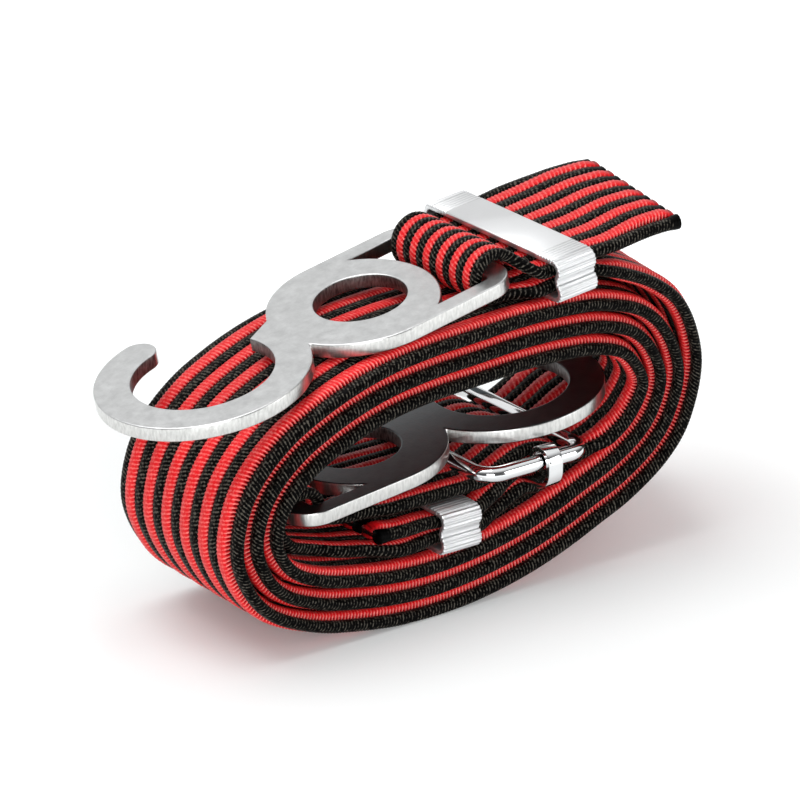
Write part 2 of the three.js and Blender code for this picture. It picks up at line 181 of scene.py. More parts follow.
UNDER_FRAME = SLIDE_Z - WIRE_DIAMETER / 2 - WRAP_OFFSET
inner_end = [
    (-11.8, 12.2, STRAP_WIDTH, STRAP_THICKNESS, -1), (-8, 12, STRAP_WIDTH, FOLDED, 0),
    *in_clip(INNER_CLIP, 1, 1),
    (6.2, 12.85, 23, FOLDED, 0), (8.8, 13.95, SLIDE_WIDTH, FOLDED, 0),
    *centre_bar_loop(),
    (7.4, 10.6, SLIDE_WIDTH, FOLDED, 0),
    *in_clip(INNER_CLIP, -1, -1),
    (-8, 9.55, STRAP_WIDTH, FOLDED, 0), (-13.5, 10, 20, FOLDED, 0),
    *inner_hook_loop(),
    (-13, 14.45, 19, FOLDED, 0),
]
under_slide = (
    (-8, 14.5), (-3, 14.55), (0.5, UNDER_FRAME), (SLIDE_LEFT, UNDER_FRAME), (5.3, UNDER_FRAME + 0.25),
    (8, 16), (10.2, 16.9), (12.5, 17.15), (14.7, 16.6), (16.4, 15.3), (SLIDE_RIGHT, UNDER_FRAME - 0.1),
)
inner_end += [(x, z, SLIDE_WIDTH, FOLDED, 0) for x, z in under_slide]
inner_end += [
    (20.4, 14.95, 22.5, FOLDED, 1.2), (23.2, 16.4, STRAP_WIDTH, STRAP_THICKNESS, 3.6),
    (25.9, 18.4, STRAP_WIDTH, STRAP_THICKNESS, 5.4),
]

# The innermost turn, from its right end over the top
CORE = (
    (28, 22.1), (24.9, 26.8), (16.5, 28.6), (3, 28.2), (-9, 26.9), (-18, 23.7), (-23.2, 19.9),
    (-24.9, 15.4), (-22.3, 11.6), (-14, 9), (-3, 8.1), (8.5, 9.9), (18, 13.5), (25.6, 17.6),
)
core = [Vector(point) for point in CORE]
TURN_PITCH, TURNS, STATIONS_PER_TURN = 2.8, 3, 28
COIL_FLARE, FLARE_START = 6.4, 8


def on_core(share):
    """A point of the innermost turn, at a share of the way round it."""
    position = share % 1 * len(core)
    index = int(position)
    around = [core[(index + step) % len(core)] for step in (-1, 0, 1, 2)]
    return between(*around, position - index)


coil = []
for step in range(TURNS * STATIONS_PER_TURN + 1):
    turns = step / STATIONS_PER_TURN
    here = on_core(turns)
    tangent = (on_core(turns + NUDGE) - on_core(turns - NUDGE)).normalized()
    lean = COIL_FLARE * min(max((here.x - FLARE_START) / (core[0].x - FLARE_START), 0), 1)
    outward = Vector((tangent.y, -tangent.x)) * TURN_PITCH * turns
    coil.append((*(here + outward), STRAP_WIDTH, STRAP_THICKNESS, lean))

outer_end = [
    (35.6, 27.4, STRAP_WIDTH, STRAP_THICKNESS, 5.8), (33.4, 31.8, STRAP_WIDTH, STRAP_THICKNESS, 4.4),
    (29.6, 35, STRAP_WIDTH, STRAP_THICKNESS, 2.8), (25.4, 37.1, STRAP_WIDTH, STRAP_THICKNESS, 1.4),
    (22, 38.3, STRAP_WIDTH, FOLDED, 0.3),
    *in_clip(UPPER_CLIP, -1, -1),
    *upper_hook_loop(),
    *in_clip(UPPER_CLIP, 1, 1),
    (23.5, 41.3, STRAP_WIDTH, FOLDED, 0.8), (28.5, 42, STRAP_WIDTH, STRAP_THICKNESS, 2.8),
    (33, 42.2, STRAP_WIDTH, STRAP_THICKNESS, 5),
]

stations = inner_end + coil + outer_end
line = [Vector(station[:2]) for station in stations]
line = [2 * line[0] - line[1], *line, 2 * line[-1] - line[-2]]
SUBSTEPS = 6
route = []
for index in range(len(stations) - 1):
    for step in range(SUBSTEPS + (index == len(stations) - 2)):
        share = step / SUBSTEPS
        x, z = between(*line[index:index + 4], share)
        eased = share * share * (3 - 2 * share)
        sizes = [a + (b - a) * eased for a, b in zip(stations[index][2:], stations[index + 1][2:])]
        route.append((Vector((x, 0, z)), *sizes))

# Small functions for nodes, materials and objects


def linear(hex_colour):
    """An sRGB hex colour as linear red, green, blue and alpha."""
    parts = [int(hex_colour[i:i + 2], 16) / 255 for i in (1, 3, 5)]
    return (*[c / 12.92 if c <= 0.04045 else ((c + 0.055) / 1.055) ** 2.4 for c in parts], 1)


def node(tree, kind, inputs=None, **settings):
    """A new node with its settings, and its inputs set to values or linked to sockets."""
    made = tree.nodes.new(kind)
    for name, value in settings.items():
        setattr(made, name, value)
    for key, value in (inputs or {}).items():
        if isinstance(value, bpy.types.NodeSocket):
            tree.links.new(value, made.inputs[key])
        else:
            made.inputs[key].default_value = value
    return made


def maths(tree, operation, *values, **settings):
    """The result of a maths node for up to three values or sockets."""
    inputs = dict(enumerate(values))
    return node(tree, "ShaderNodeMath", inputs, operation=operation, **settings).outputs[0]


def vector_maths(tree, operation, first, *others):
    """The vector that a vector maths node makes. To scale a vector, the number comes after it."""
    keys = ("Scale",) if operation == "SCALE" else (1, 2)
    inputs = {0: first, **dict(zip(keys, others))}
    return node(tree, "ShaderNodeVectorMath", inputs, operation=operation).outputs[0]


def mixed(tree, share, first, second, kind="FLOAT"):
    """A mix of two numbers or colours, all of the second at a share of one."""
    inputs = {"Factor": share, "A": first, "B": second}
    return node(tree, "ShaderNodeMix", inputs, data_type=kind).outputs["Result"]


def noise(tree, place, size, detail, roughness=0.5):
    """Soft noise between 0 and 1, of a size in millimetres."""
    inputs = {"Vector": place, "Scale": 1 / (size * MM), "Detail": detail, "Roughness": roughness}
    return node(tree, "ShaderNodeTexNoise", inputs).outputs["Fac"]


def add_bumps(tree, shader, height, strength, depth):
    """Gives a shader's surface small bumps that follow a height, of a depth in millimetres."""
    inputs = {"Strength": strength, "Distance": depth * MM, "Height": height}
    bump = node(tree, "ShaderNodeBump", inputs)
    tree.links.new(bump.outputs["Normal"], shader.inputs["Normal"])


def new_material(name):
    """An empty node material with its tree, and the shader that its surface is made of."""
    material = bpy.data.materials.new(name)
    material.use_nodes = True
    return material, material.node_tree, material.node_tree.nodes["Principled BSDF"]


def new_object(name, mesh, material):
    """A mesh as an object of the scene, with its material."""
    made = bpy.data.objects.new(name, mesh)
    made.data.materials.append(material)
    scene.collection.objects.link(made)
    return made


# Strap, its ground: the thin woven band that joins the rubber strands side by side.
# It is polyester cloth, black, and shows only as a dark line between two ribs.
GROUND_THICKNESS = 0.6
GROUND_WIDTH_SHARE = 0.98
GROUND_CLEARANCE = 0.2
THREAD_SIZE = 0.3

ground_cloth, tree, shader = new_material("black_ground_cloth")
shader.inputs["Base Color"].default_value = linear("#0C0B0B")
shader.inputs["Roughness"].default_value = 0.9
shader.inputs["Specular IOR Level"].default_value = 0.1
spot = node(tree, "ShaderNodeTexCoord").outputs["Object"]
thread = noise(tree, spot, THREAD_SIZE, detail=2.0)
add_bumps(tree, shader, thread, strength=0.4, depth=0.05)

ground_points, ground_faces = [], []
for index, (point, width, thickness, lean) in enumerate(route):
    ahead = route[min(index + 1, len(route) - 1)][0] - route[max(index - 1, 0)][0]
    outward = Vector((ahead.z, 0, -ahead.x)).normalized() * GROUND_THICKNESS / 2
    for across, side in ((-1, -1), (1, -1), (1, 1), (-1, 1)):
        y = across * GROUND_WIDTH_SHARE / 2 * width
        corner = point + outward * side + Vector((lean * (y / STRAP_WIDTH + 0.5), y, 0))
        corner.z = max(corner.z, GROUND_CLEARANCE)
        ground_points.append(corner * MM)
    if index:
        base = 4 * index
        for side in range(4):
            after = (side + 1) % 4
            ground_faces.append((base - 4 + side, base - 4 + after, base + after, base + side))
last = 4 * (len(route) - 1)
ground_faces += [(3, 2, 1, 0), (last, last + 1, last + 2, last + 3)]
ground_mesh = bpy.data.meshes.new("strap_ground")
ground_mesh.from_pydata(ground_points, [], ground_faces)
strap_ground = new_object("strap_ground", ground_mesh, ground_cloth)
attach(strap_ground, "strap")
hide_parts("strap_coil", "strap_outer_end", "strap_inner_end")

# Strap, its ribs: rubber strands covered in glossy polyester yarn, black and red by turns, black at both
# edges. The yarn goes round each strand close together, so every rib has fine ridges across it, and the
# ridges of a red rib reach over its black neighbours like small teeth.
RIB_COUNT = 13
FLOOR_CLEARANCE = 0.05
TOOTH_POWER = 4
PARTING_START = 0.42
MERGE_DISTANCE = 0.002

ribs = bpy.data.node_groups.new("covered_rubber_rib", "GeometryNodeTree")
ribs.interface.new_socket("Geometry", in_out="INPUT", socket_type="NodeSocketGeometry")
for kind, names in {
    "NodeSocketFloat": (
        "Place Across", "Half Width Share", "Full Half Thickness", "Folded Half Thickness", "Strap Width",
        "Wrap Spacing", "Wrap Lean", "Wrap Depth", "Tooth Depth", "Top Crease", "Squareness",
        "Sealed Thickness", "Yarn Starts",
    ),
    "NodeSocketInt": ("Rings per Wrap", "Sealed Rings", "Sides"),
    "NodeSocketMaterial": ("Yarn",),
}.items():
    for name in names:
        ribs.interface.new_socket(name, in_out="INPUT", socket_type=kind)
ribs.interface.new_socket("Geometry", in_out="OUTPUT", socket_type="NodeSocketGeometry")
given = node(ribs, "NodeGroupInput").outputs

# A grid with a row for each ring of the rib, and one more row for the closed end at each cut
path = node(ribs, "GeometryNodeMeshToCurve", {"Mesh": given["Geometry"]}).outputs["Curve"]
length = node(ribs, "GeometryNodeCurveLength", {"Curve": path}).outputs["Length"]
wraps = maths(ribs, "DIVIDE", length, given["Wrap Spacing"])
wraps = maths(ribs, "FLOOR", wraps)
steps = maths(ribs, "MULTIPLY", wraps, given["Rings per Wrap"])
last = maths(ribs, "ADD", steps, 2)
rows = maths(ribs, "ADD", last, 1)
columns = maths(ribs, "ADD", given["Sides"], 1)
grid = node(
    ribs, "GeometryNodeMeshGrid", {"Size X": 1, "Size Y": last, "Vertices X": columns, "Vertices Y": rows},
).outputs["Mesh"]
flat = node(ribs, "ShaderNodeSeparateXYZ", {0: node(ribs, "GeometryNodeInputPosition").outputs[0]}).outputs
around = maths(ribs, "ADD", flat["X"], 0.5)
ring = maths(ribs, "MULTIPLY_ADD", last, 0.5, flat["Y"])
inside = maths(ribs, "SUBTRACT", ring, 1)
along = maths(ribs, "DIVIDE", inside, steps, use_clamp=True)
to_cut = maths(ribs, "SUBTRACT", last, ring)
to_cut = maths(ribs, "MINIMUM", ring, to_cut)
closing = maths(ribs, "MINIMUM", to_cut, 1)

# Where the strap runs there, how wide it is, how far it is pressed thin in a fold, and how far it leans
section = node(
    ribs, "GeometryNodeInputNamedAttribute", {"Name": "section"}, data_type="FLOAT_VECTOR",
).outputs[0]
here = node(
    ribs, "GeometryNodeSampleCurve", {"Curves": path, "Value": section, "Factor": along},
    data_type="FLOAT_VECTOR", mode="FACTOR", use_all_curves=True,
).outputs
width, fold, lean = node(ribs, "ShaderNodeSeparateXYZ", {0: here["Value"]}).outputs

# How far the point is from the top of the nearest wrap of yarn, from 0 on top to 1 in the groove.
# Wraps lean the same way on both faces of the strap. Yarn with several starts goes round in a steep screw.
angle = maths(ribs, "MULTIPLY", around, 2 * math.pi)
sideways = maths(ribs, "COSINE", angle)
phase = maths(ribs, "MULTIPLY", along, wraps)
phase = maths(ribs, "MULTIPLY_ADD", sideways, given["Wrap Lean"], phase)
phase = maths(ribs, "MULTIPLY_ADD", around, given["Yarn Starts"], phase)
hollow = maths(ribs, "PINGPONG", phase, 0.5)
hollow = maths(ribs, "MULTIPLY", hollow, 2)

# Half the rib's width and thickness there, less in the grooves, and pressed thin and smooth where the cut
# was sealed with heat
half_width = maths(ribs, "MULTIPLY", width, given["Half Width Share"])
half_thick = mixed(ribs, fold, given["Full Half Thickness"], given["Folded Half Thickness"])
loose = node(
    ribs, "ShaderNodeMapRange", {"Value": to_cut, "From Min": 1, "From Max": given["Sealed Rings"]},
    interpolation_type="SMOOTHSTEP",
).outputs[0]
pressed = mixed(ribs, loose, given["Sealed Thickness"], 1.0)
half_thick = maths(ribs, "MULTIPLY", half_thick, pressed)
hollow = maths(ribs, "MULTIPLY", hollow, loose)
half_size = node(ribs, "ShaderNodeCombineXYZ", {"X": half_width, "Z": half_thick}).outputs[0]
at_side = maths(ribs, "POWER", sideways, TOOTH_POWER)
tooth = maths(ribs, "MULTIPLY", given["Tooth Depth"], at_side)
groove = node(ribs, "ShaderNodeCombineXYZ", {"X": tooth, "Z": given["Wrap Depth"]}).outputs[0]
groove = vector_maths(ribs, "SCALE", groove, hollow)
half_size = vector_maths(ribs, "SUBTRACT", half_size, groove)
half_size = vector_maths(ribs, "SCALE", half_size, closing)

# A round section, made a little squarer where strands press on each other
outwards = maths(ribs, "SINE", angle)
rim = node(ribs, "ShaderNodeCombineXYZ", {"X": sideways, "Z": outwards}).outputs[0]
fuller = vector_maths(ribs, "MULTIPLY", rim, rim)
fuller = vector_maths(ribs, "SUBTRACT", (1, 1, 1), fuller)
fuller = vector_maths(ribs, "SCALE", fuller, given["Squareness"])
rim = vector_maths(ribs, "MULTIPLY_ADD", rim, fuller, rim)
rim = vector_maths(ribs, "MULTIPLY", rim, half_size)
beside, _, raised = node(ribs, "ShaderNodeSeparateXYZ", {0: rim}).outputs

# The point itself, beside the route and out from it, never below the floor
point_y = maths(ribs, "MULTIPLY_ADD", given["Place Across"], width, beside)
leaning = maths(ribs, "DIVIDE", point_y, given["Strap Width"])
leaning = maths(ribs, "ADD", leaning, 0.5)
leaning = maths(ribs, "MULTIPLY", leaning, lean)
outward = vector_maths(ribs, "CROSS_PRODUCT", (0, 1, 0), here["Tangent"])
outward = vector_maths(ribs, "SCALE", outward, raised)
place = vector_maths(ribs, "ADD", here["Position"], outward)
across = node(ribs, "ShaderNodeCombineXYZ", {"X": leaning, "Y": point_y}).outputs[0]
place = vector_maths(ribs, "ADD", place, across)
lowest = (-1, -1, FLOOR_CLEARANCE * MM)
place = vector_maths(ribs, "MAXIMUM", place, lowest)

# Wraps lie close together along the top of the rib and part at its sides, so the yarn's painted shade in the
# creases deepens there and its painted highlight at the tips grows, except at a sealed cut
parted = maths(ribs, "ABSOLUTE", sideways)
parted = node(
    ribs, "ShaderNodeMapRange",
    {"Value": parted, "From Min": PARTING_START, "To Min": given["Top Crease"], "To Max": loose},
).outputs[0]
sealed = maths(ribs, "SUBTRACT", 1.0, loose)
marked = grid
for label, value in (("wrap", phase), ("parted", parted), ("sealed", sealed)):
    marked = node(
        ribs, "GeometryNodeStoreNamedAttribute", {"Geometry": marked, "Name": label, "Value": value},
        data_type="FLOAT", domain="CORNER",
    ).outputs[0]
shaped = node(ribs, "GeometryNodeSetPosition", {"Geometry": marked, "Position": place}).outputs[0]
closed = node(
    ribs, "GeometryNodeMergeByDistance", {"Geometry": shaped, "Distance": MERGE_DISTANCE * MM},
).outputs[0]
smooth = node(ribs, "GeometryNodeSetShadeSmooth", {"Geometry": closed}).outputs[0]
single = node(ribs, "GeometryNodeRealizeInstances", {"Geometry": smooth}).outputs[0]
covered = node(ribs, "GeometryNodeSetMaterial", {"Geometry": single, "Material": given["Yarn"]}).outputs[0]
node(ribs, "NodeGroupOutput", {"Geometry": covered})

# Polyester yarn: a soft shine, a painted highlight on each ridge, painted shade in the grooves, and fibres
# whose painted highlights are uneven. The red wraps have a painted highlight at their tips, along the rib's
# sides, and painted shade along the rib's top. Towards a sealed cut the yarn is drawn darker. Real fibres
# are finer, and these are drawn as coarse as they need to be to show.
FIBRE_SIZE = 0.35
SEALED_CREASE = 0.65
PAINTED_HIGHLIGHT_FROM, PAINTED_HIGHLIGHT_TO = 0.75, 1.1
yarns = []
# Groove colours are painted shade in the creases, and bright colours are painted highlights on the ridges
for name, painted_groove_shade, ridge_colour, painted_highlight_colour, shine, shallow, deep, fuzz, tip_highlight in (
    ("black_polyester_yarn", "#000000", "#070606", "#57534C", 0.03, 0.1, 0.8, 1.7, 0.0),
    ("red_polyester_yarn", "#260003", "#D8141B", "#FF918A", 0.2, 0.42, 0.95, 0.5, 0.42),
):
    yarn, tree, shader = new_material(name)
    spot = node(tree, "ShaderNodeTexCoord").outputs["Object"]
    fibre = noise(tree, spot, FIBRE_SIZE, detail=2.0)
    wrap_here, parted_here, sealed_here = [
        node(tree, "ShaderNodeAttribute", attribute_name=label).outputs["Fac"]
        for label in ("wrap", "parted", "sealed")
    ]
    crease = maths(tree, "PINGPONG", wrap_here, 0.5)
    crease = maths(tree, "MULTIPLY", crease, 2)
    crease = maths(tree, "MULTIPLY", crease, parted_here)
    crease = maths(tree, "MULTIPLY_ADD", sealed_here, SEALED_CREASE, crease)
    # The tip share darkens a red rib's top and brightens its sides: painted shade and painted highlight
    raised = maths(tree, "MULTIPLY_ADD", fibre, fuzz, 1 - fuzz / 2 - tip_highlight / 2)
    raised = maths(tree, "MULTIPLY_ADD", parted_here, tip_highlight, raised)
    raised = maths(tree, "SUBTRACT", raised, crease)
    # Painted highlight: the ridge colour turns to the bright colour where the yarn stands highest
    painted_highlight_share = node(
        tree, "ShaderNodeMapRange", {"Value": raised, "From Min": PAINTED_HIGHLIGHT_FROM, "From Max": PAINTED_HIGHLIGHT_TO},
    ).outputs[0]
    on_top = mixed(tree, painted_highlight_share, linear(ridge_colour), linear(painted_highlight_colour), kind="RGBA")
    # Painted shade: deep in the creases the colour turns to the groove colour
    depth = node(
        tree, "ShaderNodeMapRange", {"Value": crease, "From Min": shallow, "From Max": deep},
    ).outputs[0]
    colour = mixed(tree, depth, on_top, linear(painted_groove_shade), kind="RGBA")
    tree.links.new(colour, shader.inputs["Base Color"])
    shader.inputs["Roughness"].default_value = 0.4
    shader.inputs["Specular IOR Level"].default_value = shine
    add_bumps(tree, shader, raised, strength=0.35, depth=0.05)
    yarns.append(yarn)

route_mesh = bpy.data.meshes.new("strap_route")
route_points = [step[0] * MM for step in route]
route_mesh.from_pydata(route_points, [(i, i + 1) for i in range(len(route) - 1)], [])
held = route_mesh.attributes.new("section", "FLOAT_VECTOR", "POINT")
for item, (_, width, thickness, lean) in zip(held.data, route):
    item.vector = (width * MM, (STRAP_THICKNESS - thickness) / (STRAP_THICKNESS - FOLDED), lean * MM)

# Full ribs swell past the strap's stated thickness, so that the turns lie close as real ones do, and the
# ribs at both edges are thinner, so that the red ones show beside them. At the cuts they are sealed thin,
# and the front one to a bead. Pairs are for black and red.
RIB_THICKNESS = (2.35, 2.5)
EDGE_THICKNESS = 1.5
RIB_SPREAD = (1.04, 1.18)
WRAP_SPACING = (0.45, 0.48)
WRAP_LEAN = (-0.9, -0.65)
WRAP_DEPTH = (0.06, 0.08)
TOOTH_DEPTH = (0.13, 0.6)
TOP_CREASE = (0.43, 0.2)
RINGS_PER_WRAP = (3, 4)
RIB_SIDES = (12, 16)
EDGE_YARN_STARTS = -4
SQUARENESS = 0.3
SEALED_THICKNESS, FRONT_SEALED_THICKNESS = 0.6, 1.25
SEALED_RINGS = 15
for rib in range(RIB_COUNT):
    red = rib % 2
    at_edge = rib in (0, RIB_COUNT - 1)
    name = f"strap_rib_{rib + 1:02d}"
    guide = bpy.data.objects.new("strap_route", route_mesh)
    scene.collection.objects.link(guide)
    winding = guide.modifiers.new("winding", "NODES")
    winding.node_group = ribs
    for label, value in {
        "Place Across": (rib - (RIB_COUNT - 1) / 2) / RIB_COUNT,
        "Half Width Share": RIB_SPREAD[red] / RIB_COUNT / 2,
        "Full Half Thickness": (EDGE_THICKNESS if at_edge else RIB_THICKNESS[red]) / 2 * MM,
        "Folded Half Thickness": FOLDED / 2 * MM,
        "Strap Width": STRAP_WIDTH * MM,
        "Wrap Spacing": WRAP_SPACING[red] * MM,
        "Rings per Wrap": RINGS_PER_WRAP[red],
        "Wrap Lean": 0.0 if at_edge else WRAP_LEAN[red],
        "Yarn Starts": EDGE_YARN_STARTS if at_edge else 0,
        "Wrap Depth": WRAP_DEPTH[red] * MM,
        "Tooth Depth": TOOTH_DEPTH[red] * MM,
        "Squareness": 0.0 if at_edge else SQUARENESS,
        "Sealed Thickness": SEALED_THICKNESS if rib else FRONT_SEALED_THICKNESS,
        "Sealed Rings": SEALED_RINGS,
        "Top Crease": TOP_CREASE[red],
        "Sides": RIB_SIDES[red],
        "Yarn": yarns[red],
    }.items():
        socket = next(item for item in ribs.interface.items_tree if item.name == label)
        winding[socket.identifier] = value
    evaluated = guide.evaluated_get(bpy.context.evaluated_depsgraph_get())
    mesh = bpy.data.meshes.new_from_object(evaluated)
    bpy.data.objects.remove(guide)
    mesh.name = name
    made = bpy.data.objects.new(name, mesh)
    scene.collection.objects.link(made)
    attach(made, "strap")
bpy.data.meshes.remove(route_mesh)

# Hooks: two alike, punched from flat steel, tumbled and plated, so the faces are satin and a little cloudy.
# The sheared edges are brighter, with fine marks along the way the punch went. A loop of the strap holds
# the bar at the end of each.
SLOT_CLEARANCE = 0.5
ARM_WIDTH = 2.3
SLOT_HALF = SLOT_WIDTH / 2 + SLOT_CLEARANCE
HOOK_HALF = SLOT_HALF + ARM_WIDTH
SLOT_BOW = 4.3
SLOT_CORNER = 0.8
PLATE_CORNER = 4
THROAT_RADIUS = 8.6
THROAT_BAND = 4.4
THROAT_OFFSET = 0.8
NECK_OVERLAP = 1.8
throat_outer = THROAT_RADIUS + THROAT_BAND
THROAT = Vector((NECK_OVERLAP - HOOK_HALF - throat_outer, THROAT_OFFSET))
TIP, NECK = math.radians(101), math.radians(14)
EDGE_ROUNDING = 0.18
STEPS_PER_TURN = 180
LEAST_STEP = 0.01
WALL_LEAN = 0.5


def arc(centre, radius, start, end):
    """Points on an arc from one angle to another, either way round."""
    steps = max(2, round(abs(end - start) / (2 * math.pi) * STEPS_PER_TURN))
    angles = [start + (end - start) * step / steps for step in range(steps + 1)]
    return [Vector((centre[0] + radius * math.cos(a), centre[1] + radius * math.sin(a))) for a in angles]


def draw_closed(curve, points):
    """Draws a closed line through flat points in millimetres, as part of a curve."""
    spline = curve.splines.new("POLY")
    spline.points.add(len(points) - 1)
    spline.use_cyclic_u = True
    for target, point in zip(spline.points, points):
        target.co = (point.x * MM, point.y * MM, 0, 1)


def curve_mesh(name, curve):
    """The mesh that a curve makes, without materials. The curve isn't kept."""
    drawn = bpy.data.objects.new(name, curve)
    scene.collection.objects.link(drawn)
    mesh = bpy.data.meshes.new_from_object(drawn.evaluated_get(bpy.context.evaluated_depsgraph_get()))
    bpy.data.objects.remove(drawn)
    bpy.data.curves.remove(curve)
    mesh.name = name
    mesh.materials.clear()
    return mesh


def punched(name, outlines, depth, rounding, matrix):
    """A plate from flat outlines in millimetres, the first around the others, with rounded edges.

    It is moved to its place by the matrix, and its walls take the second material.
    """
    shape = bpy.data.curves.new(name, "CURVE")
    shape.dimensions = "2D"
    shape.fill_mode = "BOTH"
    shape.extrude = (depth / 2 - rounding) * MM
    shape.bevel_depth = rounding * MM
    shape.bevel_resolution = 2
    shape.offset = -rounding * MM
    for outline in outlines:
        earlier = outline[-1:] + outline[:-1]
        kept = [point for point, other in zip(outline, earlier) if (point - other).length > LEAST_STEP]
        draw_closed(shape, kept)
    mesh = curve_mesh(name, shape)
    for polygon in mesh.polygons:
        polygon.material_index = 1 if abs(polygon.normal.z) < WALL_LEAN else 0
    mesh.transform(matrix)
    return mesh


def at_place(place):
    """The move from the origin to a piece's x and z in the bundle, with its tilt."""
    move = Matrix.Translation((place[0] * MM, 0, place[1] * MM))
    return move @ Matrix.Rotation(math.radians(place[2]), 4, "Y")


def crossing(centre, first, second, side):
    """Where a circle round the origin meets a circle round a centre."""
    distance = centre.length
    reach = (distance ** 2 + first ** 2 - second ** 2) / (2 * distance)
    across = math.sqrt(first ** 2 - reach ** 2) * side
    way = centre / distance
    return way * reach + Vector((-way.y, way.x)) * across


near_cusp = crossing(THROAT, HOOK_HALF, throat_outer, 1)
far_cusp = crossing(THROAT, HOOK_HALF, throat_outer, -1)
cap = THROAT + Vector((math.cos(TIP), math.sin(TIP))) * (THROAT_RADIUS + THROAT_BAND / 2)
from_throat = near_cusp - THROAT
near_angle = math.atan2(near_cusp.y, near_cusp.x)
if near_angle > -math.pi / 2:
    near_angle -= 2 * math.pi
corner_x = BAR_OUTER - PLATE_CORNER
corner_y = HOOK_HALF - PLATE_CORNER
plate_outline = [
    *arc((corner_x, -corner_y), PLATE_CORNER, 0, -math.pi / 2),
    *arc((0, 0), HOOK_HALF, -math.pi / 2, near_angle),
    *arc(THROAT, throat_outer, math.atan2(from_throat.y, from_throat.x), TIP - 2 * math.pi),
    *arc(cap, THROAT_BAND / 2, TIP, TIP - math.pi),
    *arc(THROAT, THROAT_RADIUS, TIP, NECK + 2 * math.pi),
    *arc((0, 0), HOOK_HALF, math.atan2(far_cusp.y, far_cusp.x), math.pi / 2),
    *arc((corner_x, corner_y), PLATE_CORNER, math.pi / 2, 0),
]
hole_outline = arc((0, 0), HOLE_RADIUS, 0, 2 * math.pi)
bow_radius = (SLOT_HALF ** 2 + SLOT_BOW ** 2) / (2 * SLOT_BOW)
bow_angle = math.asin(SLOT_HALF / bow_radius)
slot_outline = [
    *arc((SLOT_FRONT - bow_radius, 0), bow_radius, -bow_angle, bow_angle),
    *arc((BAR_INNER - SLOT_CORNER, SLOT_HALF - SLOT_CORNER), SLOT_CORNER, math.pi / 2, 0),
    *arc((BAR_INNER - SLOT_CORNER, SLOT_CORNER - SLOT_HALF), SLOT_CORNER, 0, -math.pi / 2),
]

# The inner hook's faces are nearly black in the photograph, where they mirror the dark strap inside the
# coil, so their plating is given a darker tone, which is painted shade and painted reflection.
# The noise seldom leaves the middle of its range, so that part is drawn out to the whole.
CLOUD_SIZE = 1.6
PEEL_SIZE = 0.3
NOISE_LOW, NOISE_HIGH = 0.3, 0.7
face_steels = []
for name, dark_tone, light_tone in (
    ("satin_plated_steel", "#B4B5B5", "#CBCCCC"),
    # The second steel's darker tone is painted shade and reflection for the inner hook's faces
    ("inner_hook_painted_shade_steel", "#45494B", "#585D5F"),
):
    face_steel, tree, shader = new_material(name)
    shader.inputs["Metallic"].default_value = 1
    spot = node(tree, "ShaderNodeTexCoord").outputs["Object"]
    cloud = noise(tree, spot, CLOUD_SIZE, detail=5.0, roughness=0.75)
    cloud = node(
        tree, "ShaderNodeMapRange", {"Value": cloud, "From Min": NOISE_LOW, "From Max": NOISE_HIGH},
    ).outputs[0]
    tone = mixed(tree, cloud, linear(dark_tone), linear(light_tone), kind="RGBA")
    tree.links.new(tone, shader.inputs["Base Color"])
    rough = node(tree, "ShaderNodeMapRange", {"Value": cloud, "To Min": 0.3, "To Max": 0.42}).outputs[0]
    tree.links.new(rough, shader.inputs["Roughness"])
    peel = noise(tree, spot, PEEL_SIZE, detail=2.0)
    add_bumps(tree, shader, peel, strength=0.4, depth=0.03)
    face_steels.append(face_steel)

# Sheared walls are grainy. Those round the outside are bright, and those in the openings are given a darker
# tone, painted shade for the recesses. The punch went nearly along Z, so the grain is drawn out along it,
# coarser than the real one.
GRAIN_SIZE = 0.3
GRAIN_ALONG_PUNCH = 0.3
sheared_steels = []
for name, dark_tone, light_tone, roughness in (
    ("bright_sheared_edge", "#BCBCBA", "#DADAD8", 0.3),
    # The darker tone of the walls in the openings is painted shade
    ("opening_wall_painted_shade", "#4E4D4C", "#8E8D8B", 0.45),
):
    sheared_steel, tree, shader = new_material(name)
    shader.inputs["Metallic"].default_value = 1
    shader.inputs["Roughness"].default_value = roughness
    spot = node(tree, "ShaderNodeTexCoord").outputs["Object"]
    punch_way = node(
        tree, "ShaderNodeMapping", {"Vector": spot, "Scale": (1, 1, GRAIN_ALONG_PUNCH)},
    ).outputs[0]
    grain = noise(tree, punch_way, GRAIN_SIZE, detail=3.0)
    share = node(
        tree, "ShaderNodeMapRange", {"Value": grain, "From Min": NOISE_LOW, "From Max": NOISE_HIGH},
    ).outputs[0]
    tone = mixed(tree, share, linear(dark_tone), linear(light_tone), kind="RGBA")
    tree.links.new(tone, shader.inputs["Base Color"])
    add_bumps(tree, shader, grain, strength=0.35, depth=0.05)
    sheared_steels.append(sheared_steel)

for name, hook, face_steel in zip(("upper_hook", "inner_hook"), (UPPER_HOOK, INNER_HOOK), face_steels):
    matrix = at_place(hook) @ Matrix.Translation((-BAR_CENTRE * MM, 0, 0))
    outlines = [plate_outline, hole_outline, slot_outline]
    mesh = punched(f"{name}_plate", outlines, PLATE_THICKNESS, EDGE_ROUNDING, matrix)
    plate = new_object(f"{name}_plate", mesh, face_steel)
    for sheared_steel in sheared_steels:
        mesh.materials.append(sheared_steel)
    for polygon in mesh.polygons:
        middle = (matrix.inverted() @ polygon.center / MM).to_2d()
        in_hole = middle.length < HOLE_RADIUS + EDGE_ROUNDING
        in_throat = (middle - THROAT).length < THROAT_RADIUS + EDGE_ROUNDING
        # Walls in the hole and the throat take the darker steel, painted shade
        if polygon.material_index and (in_hole or in_throat):
            polygon.material_index = 2
    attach(plate, name)
    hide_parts(name)

